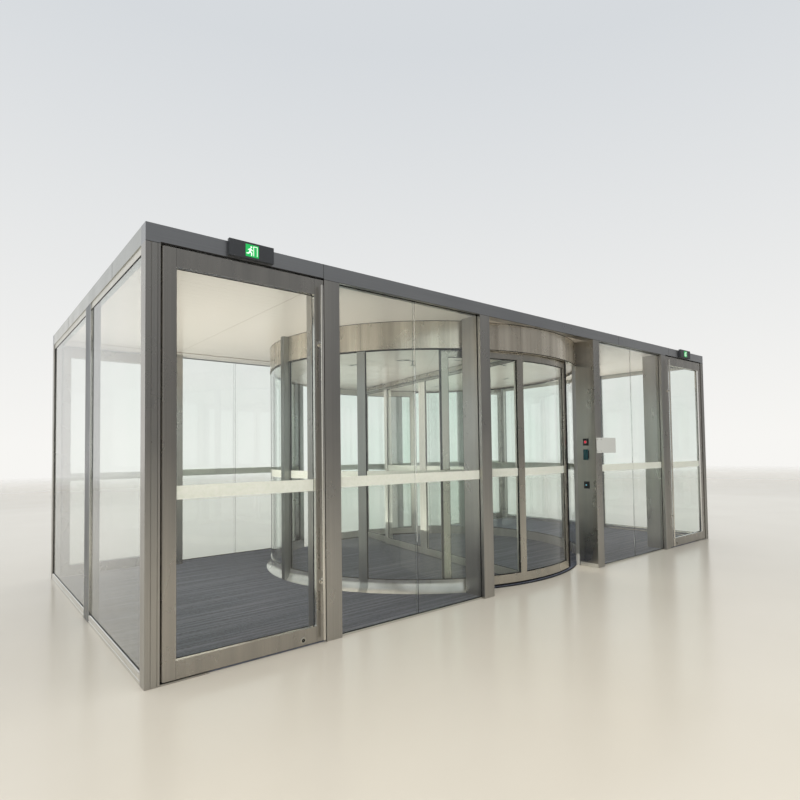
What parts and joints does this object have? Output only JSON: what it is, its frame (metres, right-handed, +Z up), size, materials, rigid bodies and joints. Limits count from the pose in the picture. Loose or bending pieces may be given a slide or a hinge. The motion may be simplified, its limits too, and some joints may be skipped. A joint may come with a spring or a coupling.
{
  "type": "revolving door",
  "caption": "Revolving door in a glazed steel entrance vestibule: a rotor with curved end panels and sliding middle leaves, and a swing door at each end.",
  "frame": {"origin": "on the floor under the middle of the drum", "axes": "+X along the fronts to the right seen from the front, +Y from the front to the rear, +Z up"},
  "size_m": [8.06, 4.276, 2.885],
  "materials": {
    "brushed_steel": "brushed stainless steel cladding",
    "clear_glass": "clear toughened glass",
    "ceiling_panel": "semi-gloss painted panels",
    "roof_sheet": "painted sheet",
    "entrance_mat": "ribbed textile mat",
    "seal_rubber": "black rubber and brush",
    "exit_sign": "backlit green panel",
    "control_plastic": "moulded housings"
  },
  "bodies": {
    "frame": {"ceiling_left": "ceiling_panel", "ceiling_right": "ceiling_panel", "control_panels": "control_plastic", "corner_posts": "brushed_steel", "door_jamb_columns": "brushed_steel", "door_pivots": "brushed_steel", "drum_base_left": "brushed_steel", "drum_base_right": "brushed_steel", "drum_ceiling": "ceiling_panel", "drum_fascia": "brushed_steel", "drum_glass_left": "clear_glass", "drum_glass_right": "clear_glass", "drum_mat": "entrance_mat", "drum_posts_left": "brushed_steel", "drum_posts_right": "brushed_steel", "exit_sign_left": "exit_sign", "exit_sign_right": "exit_sign", "fixed_glass_front": "clear_glass", "fixed_glass_rear": "clear_glass", "floor_channels": "brushed_steel", "header_front": "brushed_steel", "header_left": "brushed_steel", "header_rear": "brushed_steel", "header_right": "brushed_steel", "portal_columns": "brushed_steel", "roof_deck": "roof_sheet", "rotor_bearing": "brushed_steel", "side_frame_left": "brushed_steel", "side_frame_right": "brushed_steel", "side_glass_left": "clear_glass", "side_glass_right": "clear_glass", "vestibule_mat_left": "entrance_mat", "vestibule_mat_right": "entrance_mat"},
    "rotor": {"rotor_transom": "brushed_steel", "rotor_hub": "brushed_steel", "rotor_seals": "seal_rubber", "wing_screens": "brushed_steel", "wing_screen_glass": "clear_glass", "curved_panel_front": "brushed_steel", "curved_panel_rear": "brushed_steel", "curved_glass_front": "clear_glass", "curved_glass_rear": "clear_glass"},
    "front_leaf": {"sliding_leaf_front": "brushed_steel", "sliding_glass_front": "clear_glass"},
    "rear_leaf": {"sliding_leaf_rear": "brushed_steel", "sliding_glass_rear": "clear_glass"},
    "swing_door_front_left": {"swing_leaf_front_left": "brushed_steel", "swing_glass_front_left": "clear_glass", "swing_pulls_front_left": "brushed_steel"},
    "swing_door_front_right": {"swing_leaf_front_right": "brushed_steel", "swing_glass_front_right": "clear_glass", "swing_pulls_front_right": "brushed_steel"},
    "swing_door_rear_left": {"swing_leaf_rear_left": "brushed_steel", "swing_glass_rear_left": "clear_glass", "swing_pulls_rear_left": "brushed_steel"},
    "swing_door_rear_right": {"swing_leaf_rear_right": "brushed_steel", "swing_glass_rear_right": "clear_glass", "swing_pulls_rear_right": "brushed_steel"}
  },
  "joints": [
    {"name": "rotor_spin", "type": "hinge", "parent": "frame", "child": "rotor", "pos_m": [0, 0, 0], "axis": [0, 0, 1], "continuous": true},
    {"name": "front_leaf_slide", "type": "slide", "parent": "rotor", "child": "front_leaf", "axis": [-0.1564, -0.9877, 0], "range_m": [0, 0.8]},
    {"name": "rear_leaf_slide", "type": "slide", "parent": "rotor", "child": "rear_leaf", "axis": [0.1564, 0.9877, 0], "range_m": [0, 0.8]},
    {"name": "swing_door_front_left_hinge", "type": "hinge", "parent": "frame", "child": "swing_door_front_left", "pos_m": [-3.909, -2.061, 0], "axis": [0, 0, 1], "range_deg": [-90, 90], "stiffness_Nm_per_rad": 20},
    {"name": "swing_door_front_right_hinge", "type": "hinge", "parent": "frame", "child": "swing_door_front_right", "pos_m": [3.909, -2.061, 0], "axis": [0, 0, -1], "range_deg": [-90, 90], "stiffness_Nm_per_rad": 20},
    {"name": "swing_door_rear_left_hinge", "type": "hinge", "parent": "frame", "child": "swing_door_rear_left", "pos_m": [-3.909, 2.061, 0], "axis": [0, 0, 1], "range_deg": [-90, 90], "stiffness_Nm_per_rad": 20},
    {"name": "swing_door_rear_right_hinge", "type": "hinge", "parent": "frame", "child": "swing_door_rear_right", "pos_m": [3.909, 2.061, 0], "axis": [0, 0, -1], "range_deg": [-90, 90], "stiffness_Nm_per_rad": 20}
  ],
  "couplings": [
    {"joint": "rear_leaf_slide", "follows": "front_leaf_slide", "ratio": 1}
  ]
}
